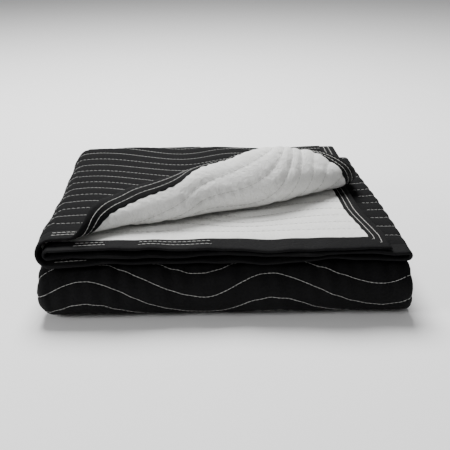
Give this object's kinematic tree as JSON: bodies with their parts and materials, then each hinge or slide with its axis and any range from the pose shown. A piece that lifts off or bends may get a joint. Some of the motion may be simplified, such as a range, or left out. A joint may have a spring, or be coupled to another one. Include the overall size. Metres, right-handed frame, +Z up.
{
  "type": "moving pad",
  "caption": "Folded quilted moving pad, dark outside and pale inside, with bound edges and one top corner turned back in a soft roll.",
  "frame": {"origin": "on the surface that the pad lies on, under the middle of its bounding box", "axes": "+Z up through the stack of layers; +X across the folded pad, from the closed left folds to the free right edges; +Y from the front fold to the rear fold"},
  "size_m": [0.4672, 0.4144, 0.1691],
  "materials": {
    "face_cloth": "matt black woven face cloth, quilted in wavy lines with pale thread",
    "lining_cloth": "soft off-white woven lining cloth",
    "binding_tape": "black woven binding tape with two rows of pale stitches"
  },
  "bodies": {
    "root": {"quilted_face": "face_cloth", "lining_turned_corner": "lining_cloth", "lining_second_layer": "lining_cloth", "edge_binding": "binding_tape"}
  },
  "joints": []
}
